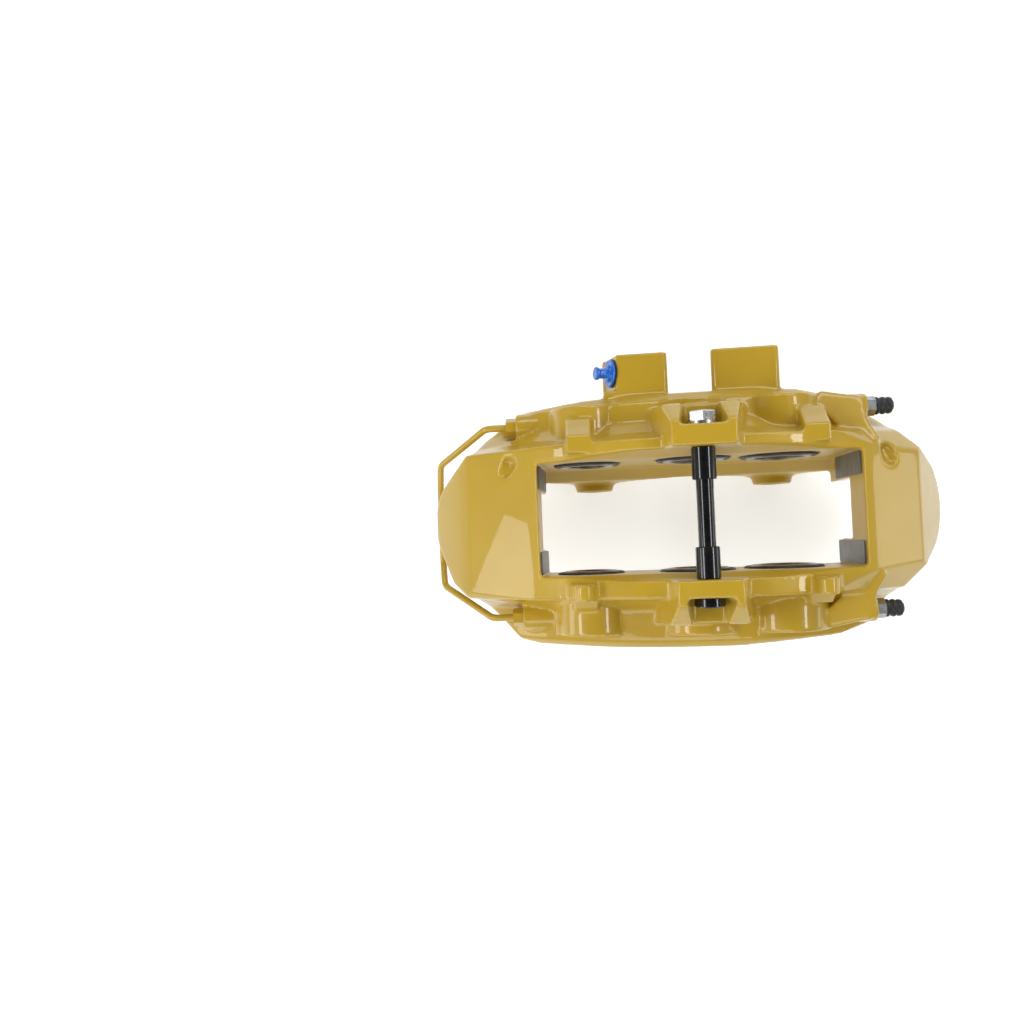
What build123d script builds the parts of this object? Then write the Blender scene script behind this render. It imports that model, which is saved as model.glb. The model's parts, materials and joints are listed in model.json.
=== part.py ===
"""Six-piston fixed brake caliper, in millimetres.

X runs along the caliper, +X to the bleed end; Y is the disc's axle, +Y inboard; +Z is away from
the axle. The origin is midway between the two knuckle bolts, on the face that meets the knuckle.
"""

import os
from math import cos, radians, sin

from build123d import *

os.makedirs("parts", exist_ok=True)

# Driving dimensions
rail_height = 138.0  # top of the rails above the knuckle bolts, at the middle
mid_to_mount = 64.0  # disc's middle plane to the knuckle face
rail_radius = 235.0  # outside of the rails, about the axle
slot_radius, slot_half = 205.0, 20.0  # the disc's slot
bolt_left, bolt_right = -67.0, 67.0  # knuckle bolts
bolt_hole_radius, lug_radius = 6.5, 16.0
lug_face, lug_back = 22.0, 28.0  # middle plane to the disc side of the lugs, on their rings and beside them
window_half = 102.0  # half the length of the window
face_offset = 36.5  # middle plane to the faces the pistons come out of
rail_inner, rail_outboard, rail_inboard = 40.0, 52.0, 48.0
outboard_depth, inboard_depth = 86.0, 79.5
facet_start = 112.0  # where the flat facets of the ends begin
end_reach = {-1: 183.0, 1: 169.0}  # to the tips, from the middle of the window
arch_radius, arch_drop = 49.0, -150.0  # the arch between the lugs
block_depth = 108.0  # middle plane to the ends of the two blocks behind the inboard half

# Pistons: x, height below the rail top, radius, by place along the caliper
pistons = {"trailing": (-70.0, -51.0, 18.0), "middle": (0.0, -44.0, 20.0), "leading": (56.0, -50.0, 21.0)}
sides = {"inboard": 1, "outboard": -1}
bore_floor = 72.0
piston_nose, piston_tail = 34.8, 68.0
sliding_gap = 0.05
seal_start, seal_width, seal_depth = 43.0, 3.4, 3.0
boot_depth, boot_ring = 4.0, 4.5

# Centre tie
tie_x, tie_drop = 2.0, 1.0
tie_radius, tie_gap = 4.0, 0.05
tie_floor = {1: 53.3, -1: 51.0}  # middle plane to the pocket floors
# The tie's bosses and their pockets, seen from the front: x from the tie, height from the rails' top
boss_front = ((-31, -32), (-27, -14), (-19.5, 14), (19.5, 14), (27, -14), (31, -32))
pocket_front = ((-9.8, -8.9), (9.8, -8.9), (15, 16), (-15, 16))
ear_places = (-73.5, 72.5)
rib_half, rib_reach = 8.0, {1: 58.0, -1: 52.0}  # ribs out from the rails
hollow_top, hollow_floor = -32.0, -41.0  # the hollows in the ends

# Ports: height below the rail top, distance from the middle plane, and where their faces are
port_radius = 5.0
bleed_drop, bleed_offset, bleed_face = -44.0, 65.0, 111.0
tube_drop, tube_offset, tube_face = -62.0, 66.0, -118.0
tube_radius = 2.4
inlet_tilt = 22.0
inlet_x, inlet_offset, inlet_drop = -50.5, 97.0, -48.0

# Planes through the top of the rails: seen from outboard, from above, and across the caliper
top = Vector(0, -mid_to_mount, rail_height)
front = Plane(origin=top, x_dir=(1, 0, 0), z_dir=(0, -1, 0))
plan = Plane(origin=top)
across = Plane(origin=top, x_dir=(0, 1, 0), z_dir=(1, 0, 0))
axle = Axis(top - Vector(0, 0, rail_radius), (0, 1, 0))


def at(x, y, z):
    """A point given from the rails' top, on the disc's middle plane."""
    return top + Vector(x, y, z)


def side_plane(side, offset):
    """A plane facing away from the disc, at a distance from its middle."""
    facing = (0, side, 0)
    return Plane(origin=at(0, side * offset, 0), x_dir=(1, 0, 0), z_dir=facing)


def on_side(side, x, z):
    """A place in the sketch of a side plane, whose own y runs down on the inboard side."""
    return (x, -side * z)


# Caliper body -------------------------------------------------------------------------------

with BuildPart() as shell:
    # Rails, shoulders and panels: one section turned about the axle
    with BuildSketch(across):
        with BuildLine():
            Polyline(
                (-outboard_depth, -165), (-outboard_depth, -36), (-81, -31), (-60, -29), (-54, -18),
                (-rail_outboard, -8), (-rail_outboard, 0), (rail_inboard, 0), (rail_inboard, -7), (53, -18),
                (61, -26), (74, -28), (inboard_depth, -34), (inboard_depth, -165), close=True,
            )
        make_face()
    revolve(axis=axle)
    # Plan outline, with narrower ends
    with BuildSketch(plan.offset(-200)) as plan_outline:
        with BuildLine():
            Polyline((161, 26), (124, 57), (108, 70), (66, 80), (-66, 80), (-114, 76), (-142, 60), (-176, 25))
            ThreePointArc((-176, 25), (-end_reach[-1], 0), (-176, -25))
            Polyline(
                (-176, -25), (-168, -42), (-137, -67), (-122, -82), (-107, -85), (-50, -86), (24, -86),
                (90, -82), (112, -76), (127, -59), (161, -26),
            )
            ThreePointArc((161, -26), (end_reach[1], 0), (161, 26))
        make_face()
        fillet(plan_outline.vertices().filter_by(lambda v: abs(v.X) > 120), 10)
    extrude(amount=240, mode=Mode.INTERSECT)

with BuildPart() as side_shape:
    # Outboard half: its lower edge is an arc
    with BuildSketch(front):
        with BuildLine():
            Polyline(
                (-117, -88), (-150, -91), (-190, -86), (-190, 30), (190, 30), (190, -86), (150, -91),
                (117, -88),
            )
            ThreePointArc((117, -88), (0, -70), (-117, -88))
        make_face()
    extrude(amount=100)
    # Inboard half: it reaches down to the two lugs, with an arch between them
    with BuildSketch(front):
        with BuildLine():
            Polyline(
                (-190, 30), (190, 30), (190, -86), (150, -91), (116, -95), (bolt_right + 22, -117),
                (bolt_right + 14, -147), (bolt_left - 14, -147), (bolt_left - 22, -117), (-106, -95),
                (-150, -91), (-190, -86), close=True,
            )
        make_face()
        with Locations((bolt_left, -rail_height), (bolt_right, -rail_height)):
            Circle(lug_radius)
        with Locations((0, arch_drop)):
            Circle(arch_radius, mode=Mode.SUBTRACT)
        with Locations((0, arch_drop - 28)):
            Rectangle(2 * arch_radius, 56, mode=Mode.SUBTRACT)
    extrude(amount=-100)

with BuildPart() as braces:
    # Beside the bleed bosses, from the ribs to the ends of the window; their tops fall away outwards
    for side in sides.values():
        with BuildSketch(across.offset(74)):
            with BuildLine():
                Polyline((side * 34, -60), (side * 34, -28), (side * 78, -37), (side * 78, -60), close=True)
            make_face()
        extrude(amount=42)
    with BuildSketch(plan.offset(-70)):
        for side in sides.values():
            with BuildLine():
                Polyline(
                    (76, side * 68), (81, side * 76), (106, side * 71), (109, side * 54), (115, side * 43),
                    (106, side * 35), close=True,
                )
            make_face()
    extrude(amount=60, mode=Mode.INTERSECT)

with BuildPart() as caliper_body:
    add(shell.part)
    add(side_shape.part, mode=Mode.INTERSECT)

    # The inboard half is thinner below its cylinders, down to the knuckle face
    with BuildSketch(across.offset(-200)):
        with BuildLine():
            Polyline(
                (mid_to_mount, -170), (mid_to_mount, -104), (inboard_depth + 5, -84),
                (inboard_depth + 5, -170), close=True,
            )
        make_face()
    extrude(amount=400, mode=Mode.SUBTRACT)

    # Ends: a flat facet beyond each end of the window, then facets that fall away to the tips
    for end, reach in end_reach.items():
        with BuildSketch(Plane(origin=at(end * facet_start, 0, -29), z_dir=(end * 0.56, 0, 0.83))):
            Rectangle(260, 260)
        extrude(amount=60, mode=Mode.SUBTRACT)
        for lean in (-1, 1):
            out = Vector(end * 0.5, lean * 0.56, 0.66)
            with BuildSketch(Plane(origin=at(end * (reach - 36), lean * 52, -56), z_dir=out)):
                Rectangle(260, 260)
            extrude(amount=60, mode=Mode.SUBTRACT)
        tip = Vector(end * 0.82, 0, 0.57)
        with BuildSketch(Plane(origin=at(end * (reach - 7), 0, -76), z_dir=tip)):
            Rectangle(260, 260)
        extrude(amount=60, mode=Mode.SUBTRACT)

    # Cylinders round the pistons, standing out of the shoulders
    for side, depth in ((1, 74.0), (-1, 77.0)):
        for x, z, radius in pistons.values():
            with BuildSketch(side_plane(side, face_offset)):
                with Locations(on_side(side, x, z)):
                    Circle(radius + 5.5)
            extrude(amount=depth - face_offset)

    # Middle bosses that carry the tie, and ribs out from the rails
    for side in sides.values():
        with BuildSketch(side_plane(side, 39)):
            with BuildLine():
                Polyline(*(on_side(side, tie_x + x, z) for x, z in boss_front), close=True)
            make_face()
        extrude(amount=29)
        # Their tops fall away outwards
        with BuildSketch(across.offset(tie_x - 40)):
            with BuildLine():
                Polyline((side * 54, 16), (side * 78, -14), (side * 90, -14), (side * 90, 16), close=True)
            make_face()
        extrude(amount=80, mode=Mode.SUBTRACT)
        for x in ear_places:
            knee = rib_reach[side]
            with BuildSketch(across.offset(x - rib_half)):
                with BuildLine():
                    Polyline(
                        (side * 41, -40), (side * 41, -9), (side * 52, -9), (side * knee, -17),
                        (side * (knee + 7), -25), (side * (knee + 7), -40), close=True,
                    )
                make_face()
            extrude(amount=2 * rib_half)

    # Ears on the outboard rail
    for x in ear_places:
        with BuildSketch(front.offset(41)):
            with Locations((x, -3)):
                Circle(6.5)
            with Locations((x, -14)):
                Rectangle(13, 22)
            with BuildLine():
                Polyline((x - 12, -18), (x - 6.5, -4), (x + 6.5, -4), (x + 12, -18), close=True)
            make_face()
        extrude(amount=11)

    # Two blocks behind the inboard half
    for inner, outer in ((-13, -57), (13, 58)):
        with BuildSketch(side_plane(1, 60)) as block:
            with BuildLine():
                corner = inner + (outer - inner) * 0.3
                Polyline((inner, 40), (outer, 40), (outer, 84), (corner, 84), close=True)
            make_face()
            fillet(block.vertices(), 3)
        extrude(amount=block_depth - 60)
    # Shallow hollows in the inboard corners of the ends
    for x, y, turn in ((-124, 36, 60), (122, 33, -60)):
        with BuildSketch(plan.offset(hollow_top)):
            with Locations(Location((x, y), turn)):
                SlotOverall(20, 14)
        extrude(amount=hollow_floor - hollow_top, taper=24, mode=Mode.SUBTRACT)

    # Bosses for the bleed screws and the crossover tube, and the braces
    add(braces.part)
    for side in sides.values():
        with BuildSketch(across.offset(88)):
            with Locations((side * bleed_offset, bleed_drop)):
                Circle(8.5)
        extrude(amount=bleed_face - 88)
        with BuildSketch(across.offset(tube_face)):
            with Locations((side * tube_offset, tube_drop)):
                Circle(9)
        extrude(amount=28)
        # Flat seats in front of them
        with BuildSketch(across.offset(bleed_face)):
            with Locations((side * bleed_offset, bleed_drop)):
                Circle(8.5)
        extrude(amount=60, mode=Mode.SUBTRACT)
        with BuildSketch(across.offset(tube_face)):
            with Locations((side * tube_offset, tube_drop)):
                Circle(9)
        extrude(amount=-60, mode=Mode.SUBTRACT)

    # Window, with faces that slope in under the rails, and the disc's slot
    with BuildSketch(across.offset(-window_half)):
        with BuildLine():
            Polyline(
                (-rail_inner, 40), (rail_inner, 40), (rail_inner, -6), (face_offset, -17), (face_offset, -88),
                (lug_back, -100), (lug_back, -200), (-face_offset, -200), (-face_offset, -17),
                (-rail_inner, -6), close=True,
            )
        make_face()
    extrude(amount=2 * window_half, mode=Mode.SUBTRACT)
    with BuildSketch(front.offset(-slot_half)):
        with Locations((0, -rail_radius)):
            Circle(slot_radius)
    extrude(amount=2 * slot_half, mode=Mode.SUBTRACT)

    # Raised rings round the knuckle bolts, on the disc side
    with BuildSketch(side_plane(1, lug_back + 4)):
        with Locations((bolt_left, rail_height), (bolt_right, rail_height)):
            Circle(lug_radius)
    extrude(amount=lug_face - lug_back - 4, taper=12)

    # Piston bores, each with a seal groove and a counterbore for its boot
    for side in sides.values():
        for x, z, radius in pistons.values():
            for start, depth, size in (
                (face_offset, bore_floor, radius + sliding_gap),
                (seal_start, seal_start + seal_width, radius + seal_depth),
                (face_offset, face_offset + boot_depth, radius + boot_ring),
            ):
                with BuildSketch(side_plane(side, start)):
                    with Locations(on_side(side, x, z)):
                        Circle(size)
                extrude(amount=depth - start, mode=Mode.SUBTRACT)

    # Tie: a bore right through, and a pocket outside each boss
    with BuildSketch(front.offset(-90)):
        with Locations((tie_x, tie_drop)):
            Circle(tie_radius + tie_gap)
    extrude(amount=180, mode=Mode.SUBTRACT)
    for side, floor in tie_floor.items():
        with BuildSketch(side_plane(side, floor)):
            with BuildLine():
                Polyline(*(on_side(side, tie_x + x, z) for x, z in pocket_front), close=True)
            make_face()
        extrude(amount=40, mode=Mode.SUBTRACT)

    # Knuckle bolt holes, ear holes
    with BuildSketch(side_plane(1, 0)):
        with Locations((bolt_left, rail_height), (bolt_right, rail_height)):
            Circle(bolt_hole_radius)
    extrude(amount=120, mode=Mode.SUBTRACT)
    with BuildSketch(front.offset(30)):
        with Locations(*((x, -3) for x in ear_places)):
            Circle(3)
    extrude(amount=30, mode=Mode.SUBTRACT)

    # Fluid ways: bleed ports and the drilling past all three bores, tube ports
    for side in sides.values():
        with BuildSketch(across.offset(94)):
            with Locations((side * bleed_offset, bleed_drop)):
                Circle(port_radius)
        extrude(amount=40, mode=Mode.SUBTRACT)
        with BuildSketch(across.offset(-70)):
            with Locations((side * bleed_offset, bleed_drop)):
                Circle(2)
        extrude(amount=170, mode=Mode.SUBTRACT)
        with BuildSketch(across.offset(tube_face - 40)):
            with Locations((side * tube_offset, tube_drop)):
                Circle(port_radius)
        extrude(amount=52, mode=Mode.SUBTRACT)
        with BuildSketch(across.offset(tube_face)):
            with Locations((side * tube_offset, tube_drop)):
                Circle(1.75)
        extrude(amount=44, mode=Mode.SUBTRACT)

    # Inlet: a sloping face on the left-hand block, its port, and a drilling down to the fluid way
    inlet_out = Vector(-cos(radians(inlet_tilt)), 0, sin(radians(inlet_tilt)))
    inlet = Plane(origin=at(inlet_x, inlet_offset, inlet_drop), x_dir=(0, 1, 0), z_dir=inlet_out)
    with BuildSketch(inlet):
        Rectangle(26, 26)
    extrude(amount=30, mode=Mode.SUBTRACT)
    with BuildSketch(inlet.offset(-16)):
        Circle(port_radius)
    extrude(amount=30, mode=Mode.SUBTRACT)
    with BuildSketch(side_plane(1, bleed_offset)):
        with Locations((inlet_x + 13, -bleed_drop + 6)):
            Circle(2)
    extrude(amount=inlet_offset - bleed_offset, mode=Mode.SUBTRACT)

caliper_body.part.label = "caliper_body"
export_step(caliper_body.part, "parts/caliper_body.step")


# Pistons, their seals and boots --------------------------------------------------------------

for side_name, side in sides.items():
    for place, (x, z, radius) in pistons.items():
        # Open cup: nose towards the disc, groove for the boot's lip
        with BuildPart() as piston:
            with BuildSketch(side_plane(side, piston_nose)):
                with Locations(on_side(side, x, z)):
                    Circle(radius)
            extrude(amount=piston_tail - piston_nose)
            with BuildSketch(side_plane(side, piston_nose)):
                with Locations(on_side(side, x, z)):
                    Circle(radius - 4.5)
            extrude(amount=24, mode=Mode.SUBTRACT)
            rim = piston.edges().filter_by(GeomType.CIRCLE).group_by(Axis.Y)
            chamfer(rim[0] + rim[-1], 0.7)
        piston.part.label = f"piston_{side_name}_{place}"
        export_step(piston.part, f"parts/piston_{side_name}_{place}.step")

        # Square-cut ring in the bore's groove
        with BuildPart() as seal:
            with BuildSketch(side_plane(side, seal_start + 0.1)):
                with Locations(on_side(side, x, z)):
                    Circle(radius + seal_depth - 0.1)
                    Circle(radius + 0.06, mode=Mode.SUBTRACT)
            extrude(amount=seal_width - 0.2)
        seal.part.label = f"piston_seal_{side_name}_{place}"
        export_step(seal.part, f"parts/piston_seal_{side_name}_{place}.step")

        # Folded dust boot: an anchor ring in the counterbore, a fold, and a lip round the nose
        with BuildPart() as boot:
            with BuildSketch(Plane(origin=at(x, 0, z), x_dir=(1, 0, 0), z_dir=(0, 0, 1))):
                with BuildLine():
                    Polyline(
                        (radius + 0.06, side * 35.7), (radius + 1.4, side * 35.3),
                        (radius + 2.2, side * 36.7), (radius + 3.2, side * 35.5),
                        (radius + 4.4, side * 36.2), (radius + 4.4, side * 40.4),
                        (radius + 2.6, side * 40.4), (radius + 2.6, side * 38.1),
                        (radius + 0.06, side * 38.1), close=True,
                    )
                make_face()
            revolve(axis=Axis(at(x, 0, z), (0, 1, 0)))
        boot.part.label = f"piston_boot_{side_name}_{place}"
        export_step(boot.part, f"parts/piston_boot_{side_name}_{place}.step")

# Centre tie: bolt, stepped sleeve between the bosses, and round nut --------------------------------

tie = Plane(origin=at(tie_x, 0, tie_drop), x_dir=(1, 0, 0), z_dir=(0, 1, 0))

with BuildPart() as tie_bolt:
    with BuildSketch(tie.offset(-56)):
        Circle(tie_radius)
    extrude(amount=56 + tie_floor[1])
    with BuildSketch(tie.offset(tie_floor[1])):
        Circle(9.3)
    extrude(amount=2)
    with BuildSketch(tie.offset(tie_floor[1] + 2)):
        RegularPolygon(7.5, 6, major_radius=False, rotation=30)
    extrude(amount=6.5)
    chamfer(tie_bolt.edges().group_by(Axis.Y)[-1], 0.8)
    chamfer(tie_bolt.edges().group_by(Axis.Y)[0], 0.8)
tie_bolt.part.label = "tie_bolt"
export_step(tie_bolt.part, "parts/tie_bolt.step")

with BuildPart() as tie_sleeve:
    with BuildSketch(tie.offset(-39.98)):
        Circle(5.3)
    extrude(amount=2 * 39.98)
    for start, length in ((-39.98, 19.5), (20.0, 19.98)):
        with BuildSketch(tie.offset(start)):
            Circle(7.4)
        extrude(amount=length)
    chamfer(tie_sleeve.edges().filter_by(GeomType.CIRCLE).filter_by(lambda e: e.radius > 7), 0.6)
    with BuildSketch(tie.offset(-41)):
        Circle(tie_radius + tie_gap)
    extrude(amount=82, mode=Mode.SUBTRACT)
tie_sleeve.part.label = "tie_sleeve"
export_step(tie_sleeve.part, "parts/tie_sleeve.step")

with BuildPart() as tie_nut:
    with BuildSketch(tie.offset(-tie_floor[-1] - 6)):
        Circle(9.4)
    extrude(amount=6)
    chamfer(tie_nut.edges().filter_by(GeomType.CIRCLE), 0.8)
    with BuildSketch(tie.offset(-60)):
        Circle(tie_radius + tie_gap)
    extrude(amount=12, mode=Mode.SUBTRACT)
tie_nut.part.label = "tie_nut"
export_step(tie_nut.part, "parts/tie_nut.step")

# Abutment plates: the pads slide on them ------------------------------------------------------

plate_low, plate_high, plate_near, plate_far, plate_thickness = -86.0, -27.0, 21.0, 36.2, 1.2
for side_name, side in sides.items():
    for place, end in (("trailing", -1), ("leading", 1)):
        with BuildPart() as plate:
            with BuildSketch(across.offset(end * (window_half - 0.02))):
                with Locations((side * (plate_near + plate_far) / 2, (plate_low + plate_high) / 2)):
                    RectangleRounded(plate_far - plate_near, plate_high - plate_low, 1.5)
            extrude(amount=-end * plate_thickness)
        plate.part.label = f"abutment_plate_{side_name}_{place}"
        export_step(plate.part, f"parts/abutment_plate_{side_name}_{place}.step")

# Bleed screws and their caps -----------------------------------------------------------------

for side_name, side in sides.items():
    bleed = Plane(origin=at(bleed_face, side * bleed_offset, bleed_drop), x_dir=(0, 1, 0), z_dir=(1, 0, 0))
    with BuildPart() as bleed_screw:
        for start, length, radius in ((-14, 14, 4.94), (5, 2.5, 3.4), (7.5, 4, 2.9), (11.5, 2.5, 3.6)):
            with BuildSketch(bleed.offset(start)):
                Circle(radius)
            extrude(amount=length)
        with BuildSketch(bleed):
            RegularPolygon(5.5, 6, major_radius=False)
        extrude(amount=5)
        chamfer(bleed_screw.edges().group_by(Axis.X)[0], 2.8)
        with BuildSketch(bleed.offset(-7)):
            Circle(1.2)
        extrude(amount=30, mode=Mode.SUBTRACT)
    bleed_screw.part.label = f"bleed_screw_{side_name}"
    export_step(bleed_screw.part, f"parts/bleed_screw_{side_name}.step")

    # Ribbed cap over the nipple
    with BuildPart() as bleed_cap:
        with BuildSketch(bleed.offset(5.05)):
            Circle(5.0)
        extrude(amount=10.5)
        for start, length, radius in ((5.05, 2.2, 5.7), (8.9, 2, 5.6), (12.5, 2, 5.4)):
            with BuildSketch(bleed.offset(start)):
                Circle(radius)
            extrude(amount=length)
        with BuildSketch(bleed.offset(15.55)):
            Circle(3.6)
        extrude(amount=1.2)
        with BuildSketch(bleed.offset(5)):
            Circle(3.7)
        extrude(amount=9.8, mode=Mode.SUBTRACT)
    bleed_cap.part.label = f"bleed_cap_{side_name}"
    export_step(bleed_cap.part, f"parts/bleed_cap_{side_name}.step")

# Crossover tube and its nuts -----------------------------------------------------------------

with BuildPart() as crossover_tube:
    with BuildLine():
        route = FilletPolyline(
            at(-116, tube_offset, tube_drop), at(-140, tube_offset, tube_drop), at(-178, 44, -88),
            at(-180, 27, -95), at(-180, -27, -95), at(-178, -44, -88),
            at(-140, -tube_offset, tube_drop), at(-116, -tube_offset, tube_drop), radius=9,
        )
    with BuildSketch(Plane(origin=route @ 0, z_dir=route % 0)):
        Circle(tube_radius)
    sweep()
crossover_tube.part.label = "crossover_tube"
export_step(crossover_tube.part, "parts/crossover_tube.step")

for side_name, side in sides.items():
    port = Plane(origin=at(tube_face, side * tube_offset, tube_drop), x_dir=(0, 1, 0), z_dir=(-1, 0, 0))
    with BuildPart() as tube_nut:
        with BuildSketch(port.offset(-11)):
            Circle(4.94)
        extrude(amount=11)
        with BuildSketch(port):
            RegularPolygon(5.5, 6, major_radius=False)
        extrude(amount=7)
        with BuildSketch(port.offset(-18)):
            Circle(tube_radius + 0.4)
        extrude(amount=30, mode=Mode.SUBTRACT)
    tube_nut.part.label = f"tube_nut_{side_name}"
    export_step(tube_nut.part, f"parts/tube_nut_{side_name}.step")

# Inlet plug and its ring ---------------------------------------------------------------------

with BuildPart() as inlet_ring:
    with BuildSketch(inlet):
        Circle(9.6)
        Circle(5.2, mode=Mode.SUBTRACT)
    extrude(amount=0.9)
inlet_ring.part.label = "inlet_ring"
export_step(inlet_ring.part, "parts/inlet_ring.step")

with BuildPart() as inlet_plug:
    for start, length, radius in (
        (-9, 9.9, 4.94), (0.9, 1.8, 9.1), (2.7, 1.6, 6.0), (4.3, 5.5, 3.4), (9.8, 2.6, 4.3),
    ):
        with BuildSketch(inlet.offset(start)):
            Circle(radius)
        extrude(amount=length)
inlet_plug.part.label = "inlet_plug"
export_step(inlet_plug.part, "parts/inlet_plug.step")
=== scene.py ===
"""Looks of the brake caliper, in metres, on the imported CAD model's frame."""

import json
import math

import bpy
from mathutils import Matrix, Quaternion, Vector


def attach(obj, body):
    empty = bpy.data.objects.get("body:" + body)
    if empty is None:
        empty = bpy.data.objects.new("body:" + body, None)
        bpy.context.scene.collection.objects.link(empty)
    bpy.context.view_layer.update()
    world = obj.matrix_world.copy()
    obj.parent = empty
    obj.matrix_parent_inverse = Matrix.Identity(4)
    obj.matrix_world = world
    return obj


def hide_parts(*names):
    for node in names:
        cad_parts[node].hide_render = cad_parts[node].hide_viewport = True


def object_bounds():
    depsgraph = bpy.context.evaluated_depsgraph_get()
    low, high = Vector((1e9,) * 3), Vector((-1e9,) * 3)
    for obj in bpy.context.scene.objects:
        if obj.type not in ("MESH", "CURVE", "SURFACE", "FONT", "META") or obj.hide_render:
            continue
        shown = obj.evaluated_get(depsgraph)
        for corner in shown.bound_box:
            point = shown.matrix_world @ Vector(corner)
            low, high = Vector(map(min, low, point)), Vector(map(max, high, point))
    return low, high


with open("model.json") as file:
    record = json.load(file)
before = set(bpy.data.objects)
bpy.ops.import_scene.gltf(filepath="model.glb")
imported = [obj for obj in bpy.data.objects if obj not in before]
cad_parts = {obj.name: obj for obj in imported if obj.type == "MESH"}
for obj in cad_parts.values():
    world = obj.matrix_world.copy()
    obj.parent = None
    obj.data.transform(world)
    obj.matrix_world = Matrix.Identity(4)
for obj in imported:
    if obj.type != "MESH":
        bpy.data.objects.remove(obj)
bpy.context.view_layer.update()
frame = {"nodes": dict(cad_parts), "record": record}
nodes = frame["nodes"]
MM = 0.001

# Places that part.py gives. RAILS_TOP is the top of the rails on the disc's middle plane, in the
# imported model's millimetres. The others are millimetres from it.
RAILS_TOP = Vector((0, -64, 138))
SIDES = {"inboard": 1, "outboard": -1}
PISTONS = {  # x, z, radius
    "trailing": (-70, -51, 18),
    "middle": (0, -44, 20),
    "leading": (56, -50, 21),
}
BLEED_Y, BLEED_Z = 65, -44
INLET_TILT = math.radians(22)


def at(x, y, z):
    """A point given in millimetres from the rails' top."""
    return (RAILS_TOP + Vector((x, y, z))) * MM


INLET = at(-50.5, 97, -48)
INLET_OUT = Vector((-math.cos(INLET_TILT), 0, math.sin(INLET_TILT)))

# Half length and width of the window, in metres, to just past its walls
WINDOW_HALF_X, WINDOW_HALF_Y = 0.1028, 0.0402


def add(name, data):
    """A new object in the scene."""
    made = bpy.data.objects.new(name, data)
    bpy.context.scene.collection.objects.link(made)
    return made


def shade_smooth(mesh):
    for face in mesh.polygons:
        face.use_smooth = True


# Materials ----------------------------------------------------------------------------------

# The part of a noise that is spread over a range of numbers, or of colours
NUMBER_SPAN = (0.3, 0.7)
COLOUR_SPAN = (0.32, 0.68)
INSIDE_COAT = 0.1  # coat inside the window, as a share of the coat outside


class Surface:
    """A Principled material with helpers for procedural variation."""

    def __init__(self, name, **values):
        self.material = bpy.data.materials.new(name)
        self.material.use_nodes = True
        self.tree = self.material.node_tree
        self.shader = self.tree.nodes["Principled BSDF"]
        self.bump = None
        for key, value in values.items():
            self.shader.inputs[key.replace("_", " ")].default_value = value

    def node(self, kind, **inputs):
        made = self.tree.nodes.new(kind)
        for key, value in inputs.items():
            made.inputs[key.replace("_", " ")].default_value = value
        return made

    def link(self, source, target):
        self.tree.links.new(source, target)

    def noise(self, scale, detail, stretch=(1, 1, 1)):
        """Noise in object space, scale in features per metre."""
        where = self.node("ShaderNodeTexCoord")
        mapping = self.node("ShaderNodeMapping", Scale=stretch)
        made = self.node("ShaderNodeTexNoise", Scale=scale, Detail=detail, Roughness=0.5)
        self.link(where.outputs["Object"], mapping.inputs["Vector"])
        self.link(mapping.outputs["Vector"], made.inputs["Vector"])
        return made.outputs["Fac"]

    def tint(self, value, low, high):
        """Base colour between two colours."""
        ramp = self.node("ShaderNodeValToRGB")
        for stop, position, colour in zip(ramp.color_ramp.elements, COLOUR_SPAN, (low, high)):
            stop.position = position
            stop.color = (*colour, 1)
        self.link(value, ramp.inputs["Fac"])
        self.link(ramp.outputs["Color"], self.shader.inputs["Base Color"])

    def rough(self, value, low, high):
        """Roughness between two values."""
        spread = self.node("ShaderNodeMapRange", From_Min=NUMBER_SPAN[0], From_Max=NUMBER_SPAN[1],
                           To_Min=low, To_Max=high)
        self.link(value, spread.inputs["Value"])
        self.link(spread.outputs["Result"], self.shader.inputs["Roughness"])

    def matt_inside(self, half_x, half_y):
        """Less coat within a half length and width of the window's middle."""
        where = self.node("ShaderNodeTexCoord")
        parts = self.node("ShaderNodeSeparateXYZ")
        self.link(where.outputs["Object"], parts.inputs["Vector"])
        both = self.node("ShaderNodeMath")
        both.operation = "MULTIPLY"
        for place, (axis, middle, half) in enumerate(
            (("X", 0, half_x), ("Y", RAILS_TOP.y * MM, half_y))
        ):
            near = self.node("ShaderNodeMath")
            near.operation = "COMPARE"
            near.inputs[1].default_value = middle
            near.inputs[2].default_value = half
            self.link(parts.outputs[axis], near.inputs[0])
            self.link(near.outputs[0], both.inputs[place])
        weight = self.shader.inputs["Coat Weight"]
        fade = self.node("ShaderNodeMapRange", To_Min=weight.default_value,
                         To_Max=weight.default_value * INSIDE_COAT)
        self.link(both.outputs[0], fade.inputs["Value"])
        self.link(fade.outputs["Result"], weight)

    def relief(self, value, height):
        """Bump of a height in metres; several add up."""
        made = self.node("ShaderNodeBump", Strength=1.0, Distance=height)
        self.link(value, made.inputs["Height"])
        if self.bump:
            self.link(self.bump.outputs["Normal"], made.inputs["Normal"])
        self.bump = made
        self.link(made.outputs["Normal"], self.shader.inputs["Normal"])


def paint():
    """Thick glossy enamel over a sand casting, with less gloss inside the window."""
    made = Surface("mustard enamel", Roughness=0.34, Coat_Weight=0.7, Coat_Roughness=0.025,
                   Coat_IOR=1.5, Specular_IOR_Level=0.35)
    made.tint(made.noise(14, 2), (0.50, 0.317, 0.021), (0.56, 0.362, 0.027))
    made.rough(made.noise(60, 4), 0.3, 0.4)
    made.matt_inside(WINDOW_HALF_X, WINDOW_HALF_Y)
    made.relief(made.noise(55, 3), 0.00035)
    made.relief(made.noise(420, 2), 0.00003)
    return made.material


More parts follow.
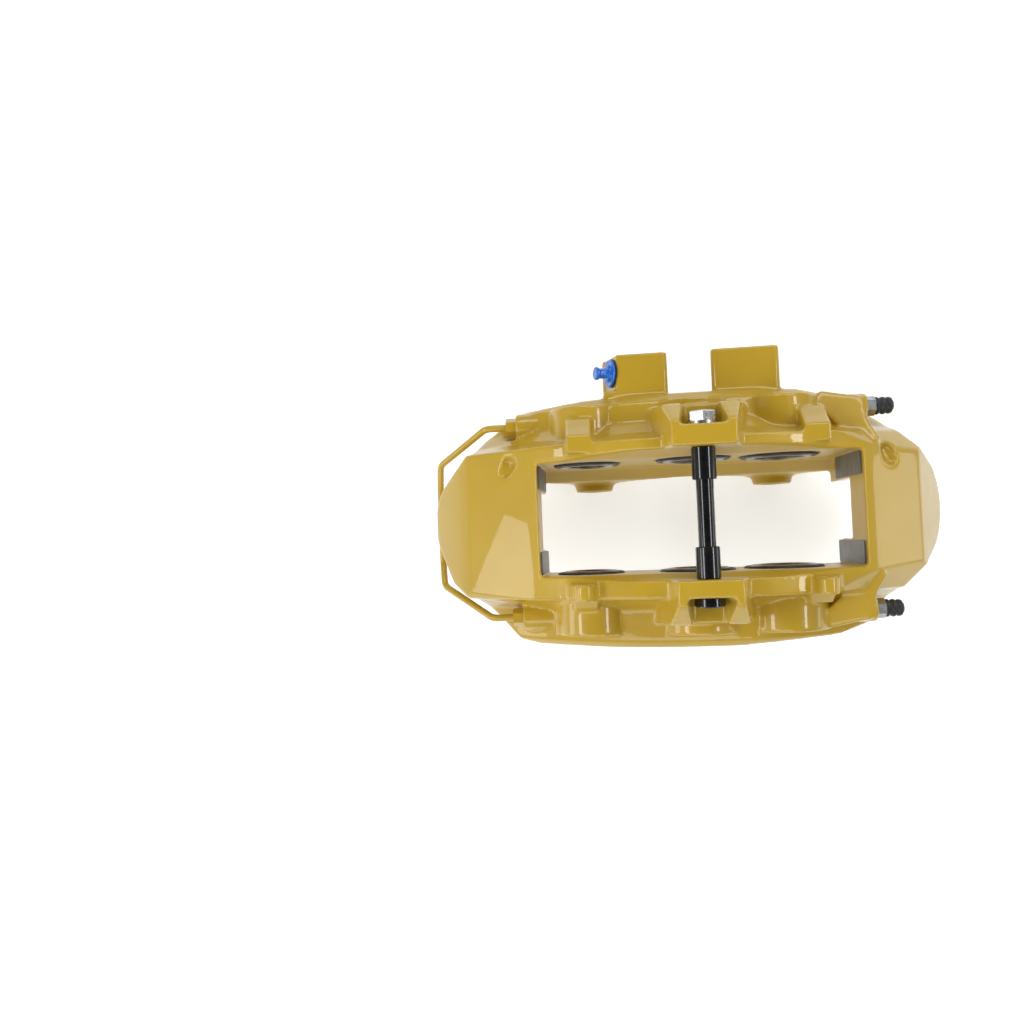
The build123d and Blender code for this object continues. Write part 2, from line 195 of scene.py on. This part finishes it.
def rubber():
    made = Surface("moulded rubber", Roughness=0.45, Sheen_Weight=0.15, Sheen_Roughness=0.4,
                   Specular_IOR_Level=0.45)
    made.tint(made.noise(220, 4), (0.010, 0.010, 0.011), (0.022, 0.022, 0.024))
    made.rough(made.noise(300, 3), 0.34, 0.56)
    made.relief(made.noise(900, 3), 0.00004)
    return made.material


def alloy():
    made = Surface("turned piston alloy", Metallic=1.0, Anisotropic=0.4)
    made.tint(made.noise(160, 3), (0.27, 0.24, 0.19), (0.37, 0.335, 0.27))
    made.rough(made.noise(900, 4, stretch=(0.15, 4, 0.15)), 0.34, 0.5)
    made.relief(made.noise(1400, 2, stretch=(0.1, 5, 0.1)), 0.00001)
    return made.material


def zinc(name, low, high, dull):
    """Plated steel between two colours, from a roughness up."""
    made = Surface(name, Metallic=1.0)
    made.tint(made.noise(260, 4), low, high)
    made.rough(made.noise(500, 4), dull, dull + 0.16)
    made.relief(made.noise(800, 3), 0.00002)
    return made.material


def black_coat():
    made = Surface("glossy black coat", Roughness=0.3, Coat_Weight=1.0, Coat_Roughness=0.015,
                   Specular_IOR_Level=0.15)
    made.tint(made.noise(120, 3), (0.003, 0.003, 0.004), (0.008, 0.008, 0.009))
    made.rough(made.noise(240, 4), 0.24, 0.38)
    made.relief(made.noise(700, 2), 0.000002)
    return made.material


def stainless():
    made = Surface("pressed stainless", Metallic=0.85)
    made.tint(made.noise(90, 3), (0.19, 0.187, 0.18), (0.24, 0.237, 0.23))
    made.rough(made.noise(700, 4, stretch=(1, 0.12, 4)), 0.42, 0.58)
    made.relief(made.noise(1600, 2, stretch=(1, 0.1, 5)), 0.00001)
    return made.material


def blue_plastic():
    made = Surface("blue plug plastic", Roughness=0.3, Coat_Weight=0.25, Coat_Roughness=0.1,
                   Subsurface_Weight=0.1, Subsurface_Scale=0.002)
    made.tint(made.noise(180, 3), (0.005, 0.125, 0.58), (0.014, 0.19, 0.71))
    made.rough(made.noise(350, 3), 0.22, 0.4)
    made.relief(made.noise(420, 2), 0.00003)
    return made.material


def floor_white():
    made = Surface("pale floor", Roughness=0.6, Emission_Color=(0.88, 0.94, 1, 1),
                   Emission_Strength=0.56, Specular_IOR_Level=0.2)
    made.tint(made.noise(3, 2), (0.80, 0.805, 0.81), (0.83, 0.835, 0.84))
    made.rough(made.noise(20, 3), 0.55, 0.65)
    return made.material


FINISH = {
    "paint": paint(),
    "rubber": rubber(),
    "piston_alloy": alloy(),
    "black_coat": black_coat(),
    "zinc": zinc("bright zinc", (0.52, 0.52, 0.53), (0.66, 0.66, 0.67), 0.22),
    "zinc_grey": zinc("dull zinc", (0.34, 0.34, 0.35), (0.48, 0.48, 0.49), 0.3),
    "stainless": stainless(),
    "blue_plastic": blue_plastic(),
}
for part in frame["record"]["subparts"]:
    surface = nodes[part["node"]].data
    surface.materials.clear()
    surface.materials.append(FINISH[part["material_slot"]])


# Casting: the CAD body with its edges softened, as cast and painted -------------------------------


def evaluated_mesh(piece):
    """The mesh of a piece with its modifiers applied."""
    bpy.context.view_layer.update()
    shaped = piece.evaluated_get(bpy.context.evaluated_depsgraph_get())
    return bpy.data.meshes.new_from_object(shaped)


def cast(node, voxel, passes, faces):
    """A piece that stands for a CAD node, its edges rounded, thinned to a number of triangles."""
    piece = add(f"{node}_cast", nodes[node].data.copy())
    remesh = piece.modifiers.new("voxels", "REMESH")
    remesh.mode = "VOXEL"
    remesh.voxel_size = voxel
    smooth = piece.modifiers.new("soften", "SMOOTH")
    smooth.factor = 0.5
    smooth.iterations = passes
    thick = evaluated_mesh(piece)
    piece.modifiers.clear()
    piece.data = thick
    thin = piece.modifiers.new("thin", "DECIMATE")
    thin.ratio = min(1.0, faces / (2 * len(thick.polygons)))  # each square becomes two triangles
    thin.use_collapse_triangulate = True
    piece.data = evaluated_mesh(piece)
    piece.modifiers.clear()
    piece.data.materials.clear()
    piece.data.materials.append(FINISH["paint"])
    shade_smooth(piece.data)
    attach(piece, "caliper")
    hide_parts(node)


cast("caliper_body", voxel=0.0011, passes=9, faces=190_000)


# Turned and moulded pieces --------------------------------------------------------------------

CORNER_STEPS = 4
ON_AXIS = 1e-6  # a radius below this is a point on the axis


def rounded(profile, reach, closed=False):
    """A profile with its corners cut to small curves, each at most a reach from its corner."""
    made = []
    count = len(profile)
    for place, corner in enumerate(profile):
        if not closed and place in (0, count - 1):
            made.append(corner)
            continue
        here = Vector(corner)
        before, after = Vector(profile[place - 1]), Vector(profile[(place + 1) % count])
        start = here + (before - here) * min(0.5, reach / (before - here).length)
        end = here + (after - here) * min(0.5, reach / (after - here).length)
        for step in range(CORNER_STEPS + 1):
            t = step / CORNER_STEPS
            made.append(tuple(start * (1 - t) ** 2 + here * 2 * t * (1 - t) + end * t * t))
    return made


def lathe(name, centre, axis, profile, closed=False, turns=96, squash=None):
    """A turned piece: its profile is (radius, distance along the axis) in millimetres."""
    along = Vector(axis).normalized()
    across = along.orthogonal().normalized()
    third = along.cross(across)
    counts = [turns if radius > ON_AXIS else 1 for radius, _ in profile]
    verts, faces, starts = [], [], []
    for (radius, distance), count in zip(profile, counts):
        starts.append(len(verts))
        for turn in range(count):
            angle = math.tau * turn / turns
            reach = radius * (squash(distance, angle) if squash else 1)
            sideways = across * math.cos(angle) * reach + third * math.sin(angle) * reach
            verts.append(centre + (sideways + along * distance) * MM)
    pairs = list(zip(range(len(profile)), range(1, len(profile))))
    if closed:
        pairs.append((len(profile) - 1, 0))
    for low, high in pairs:
        for turn in range(turns):
            after = (turn + 1) % turns
            ring = [
                starts[low] + turn % counts[low], starts[low] + after % counts[low],
                starts[high] + after % counts[high], starts[high] + turn % counts[high],
            ]
            face = list(dict.fromkeys(ring))
            if len(face) > 2:
                faces.append(face)
    mesh = bpy.data.meshes.new(name)
    mesh.from_pydata(verts, [], faces)
    shade_smooth(mesh)
    return add(name, mesh)


def fit(piece, body, node, slot):
    """A piece takes the place of a CAD node and its material."""
    piece.data.materials.append(FINISH[slot])
    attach(piece, body)
    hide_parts(node)


# Dust boots: a bead in the counterbore, one fold, and a lip round the piston
for side_name, side in SIDES.items():
    for place, (x, z, radius) in PISTONS.items():
        fold = [
            (radius + 0.08, 36.1), (radius + 0.35, 35.5), (radius + 1.1, 35.35),
            (radius + 1.6, 36.2), (radius + 2.05, 37.0), (radius + 2.5, 36.4),
            (radius + 2.9, 35.6), (radius + 3.5, 35.5), (radius + 4.0, 36.0),
            (radius + 4.4, 36.5), (radius + 4.4, 40.4), (radius + 2.6, 40.4),
            (radius + 2.6, 38.4), (radius + 1.7, 38.0), (radius + 0.08, 38.1),
        ]
        boot = lathe(f"boot_{side_name}_{place}", at(x, 0, z), (0, side, 0),
                     rounded(fold, 0.4, closed=True), closed=True, turns=128)
        fit(boot, "caliper", f"piston_boot_{side_name}_{place}", "rubber")

# Bleed caps: a collar, two barrels and a nub, hollow inside
for side_name, side in SIDES.items():
    wall = [
        (3.75, 125.7), (3.75, 116.1), (5.3, 116.05), (5.7, 116.4), (5.7, 118.0), (5.1, 118.4),
        (4.9, 119.2), (5.2, 119.8), (5.65, 120.5), (5.65, 121.9), (5.0, 122.5), (4.85, 123.0),
        (5.2, 123.5), (5.4, 124.2), (5.35, 125.4), (4.9, 126.4), (3.7, 126.8), (3.3, 127.4),
        (2.4, 127.75), (0, 127.75),
    ]
    cap = lathe(f"cap_{side_name}", at(0, side * BLEED_Y, BLEED_Z), (1, 0, 0),
                [(0, 125.7)] + rounded(wall, 0.35))
    fit(cap, f"bleed_cap_{side_name}", f"bleed_cap_{side_name}", "rubber")

# Transit plug: a dished flange, a waist, and a grip with flutes
GRIP_START, GRIP_END = 4.6, 12
FLUTES, FLUTE_DEPTH = 6, 0.07


def fluted(distance, angle):
    """Share of the radius left by the flutes, which are on the grip only."""
    if GRIP_START < distance < GRIP_END:
        return 1 - FLUTE_DEPTH * max(0, math.sin(FLUTES * angle))
    return 1


stem = [
    (0, -9), (4.2, -9), (4.9, -8.2), (4.9, 0.92), (8.6, 0.92), (9.1, 1.3), (9.1, 2.2), (8.5, 2.65),
    (7.0, 2.3), (6.0, 2.5), (5.6, 4.2), (3.6, 4.6), (3.4, 5.4), (3.4, 9.2), (3.7, 9.8), (4.3, 10.2),
    (4.3, 12.0), (3.7, 12.4), (0, 12.4),
]
plug = lathe("plug", INLET, INLET_OUT, rounded(stem, 0.35), squash=fluted)
fit(plug, "inlet_plug", "inlet_plug", "blue_plastic")

# Sealing ring under the plug's flange, round in section
ring = [(5.3, 0.05), (5.3, 0.88), (9.0, 0.9), (9.6, 0.6), (9.6, 0.02)]
plug_ring = lathe("plug_ring", INLET, INLET_OUT, rounded(ring, 0.25, closed=True), closed=True)
fit(plug_ring, "caliper", "inlet_ring", "rubber")

# Machined and pressed pieces keep their CAD shape, with broken edges of a width in millimetres
for node, width in (
    ("tie_bolt", 0.35), ("tie_sleeve", 0.3), ("tie_nut", 0.5),
    ("bleed_screw_inboard", 0.25), ("bleed_screw_outboard", 0.25),
    ("tube_nut_inboard", 0.35), ("tube_nut_outboard", 0.35),
    ("abutment_plate_inboard_trailing", 0.3), ("abutment_plate_inboard_leading", 0.3),
    ("abutment_plate_outboard_trailing", 0.3), ("abutment_plate_outboard_leading", 0.3),
):
    edges = nodes[node].modifiers.new("broken edges", "BEVEL")
    edges.width = width * MM
    edges.segments = 2
    edges.limit_method = "ANGLE"
    edges.angle_limit = math.radians(35)
    edges.harden_normals = True


# Stage ----------------------------------------------------------------------------------------

FLOOR_HALF, FLOOR_GAP = 4.0, 0.0005  # metres; the gap keeps the floor clear of the lowest piece
CEILING = 0.85  # height of the sky, as a sine, from where it is at its darkest
SENSOR_WIDTH = 36  # millimetres


def make_floor():
    mesh = bpy.data.meshes.new("floor")
    half, height = FLOOR_HALF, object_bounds()[0].z - FLOOR_GAP
    corners = [
        (-half, -half, height), (half, -half, height), (half, half, height), (-half, half, height),
    ]
    mesh.from_pydata(corners, [], [(0, 1, 2, 3)])
    mesh.materials.append(floor_white())
    made = add("floor", mesh)


def make_world(horizon, zenith):
    """An even studio: bright walls, a darker ceiling."""
    world = bpy.data.worlds.new("studio")
    world.use_nodes = True
    tree = world.node_tree
    where = tree.nodes.new("ShaderNodeTexCoord")
    parts = tree.nodes.new("ShaderNodeSeparateXYZ")
    fade = tree.nodes.new("ShaderNodeMapRange")
    fade.inputs["From Min"].default_value = 0.0
    fade.inputs["From Max"].default_value = CEILING
    fade.inputs["To Min"].default_value = horizon
    fade.inputs["To Max"].default_value = zenith
    tree.links.new(where.outputs["Generated"], parts.inputs["Vector"])
    tree.links.new(parts.outputs["Z"], fade.inputs["Value"])
    tree.links.new(fade.outputs["Result"], tree.nodes["Background"].inputs["Strength"])
    tree.nodes["Background"].inputs["Color"].default_value = (1, 1, 1, 1)
    bpy.context.scene.world = world


def panel(name, size, power, place, target, roll):
    """A large soft light, turned about its own axis by a roll in degrees."""
    light = bpy.data.lights.new(name, "AREA")
    light.shape = "RECTANGLE"
    light.size, light.size_y = size
    light.energy = power
    made = add(name, light)
    made.location = place
    aim = (Vector(target) - Vector(place)).to_track_quat("-Z", "Y")
    made.rotation_euler = (aim @ Quaternion((0, 0, 1), math.radians(roll))).to_euler()


def make_camera(place, looking, right, lens):
    """A camera at a place, looking along a direction, its picture's right along another."""
    data = bpy.data.cameras.new("camera")
    data.lens, data.sensor_width = lens, SENSOR_WIDTH
    made = add("camera", data)
    back = -Vector(looking).normalized()
    up = back.cross(Vector(right)).normalized()
    turn = Matrix((up.cross(back), up, back)).transposed()
    made.matrix_world = Matrix.Translation(place) @ turn.to_4x4()
    bpy.context.scene.camera = made


make_floor()
make_world(horizon=0.34, zenith=0.06)
for name, size, power, place, target, roll in (
    # size in metres, power in watts, place and target in millimetres from the rails' top
    ("key", (1.4, 0.5), 5.5, (-200, -700, 760), (0, 0, -40), 0),
    ("back", (1.3, 0.35), 5.3, (200, 760, 640), (0, 0, -40), 0),
    ("left", (0.42, 0.26), 1.25, (-900, -210, 200), (-100, 0, -60), -28),
    ("right", (0.3, 0.14), 0.3, (900, -60, 30), (100, 0, -60), 12),
    ("strip left", (0.5, 0.15), 1.9, (-620, -60, 560), (0, 0, -20), 0),
    ("strip right", (0.5, 0.12), 1.9, (640, 20, 620), (0, 0, -20), 0),
):
    panel(name, size, power, at(*place), at(*target), roll)
make_camera(at(-55.13, -8.87, 526.7), looking=(-0.1154, 0.0272, -0.9929),
            right=(0.9924, -0.0402, -0.1165), lens=29.927)
bpy.context.scene.view_settings.view_transform = "Standard"
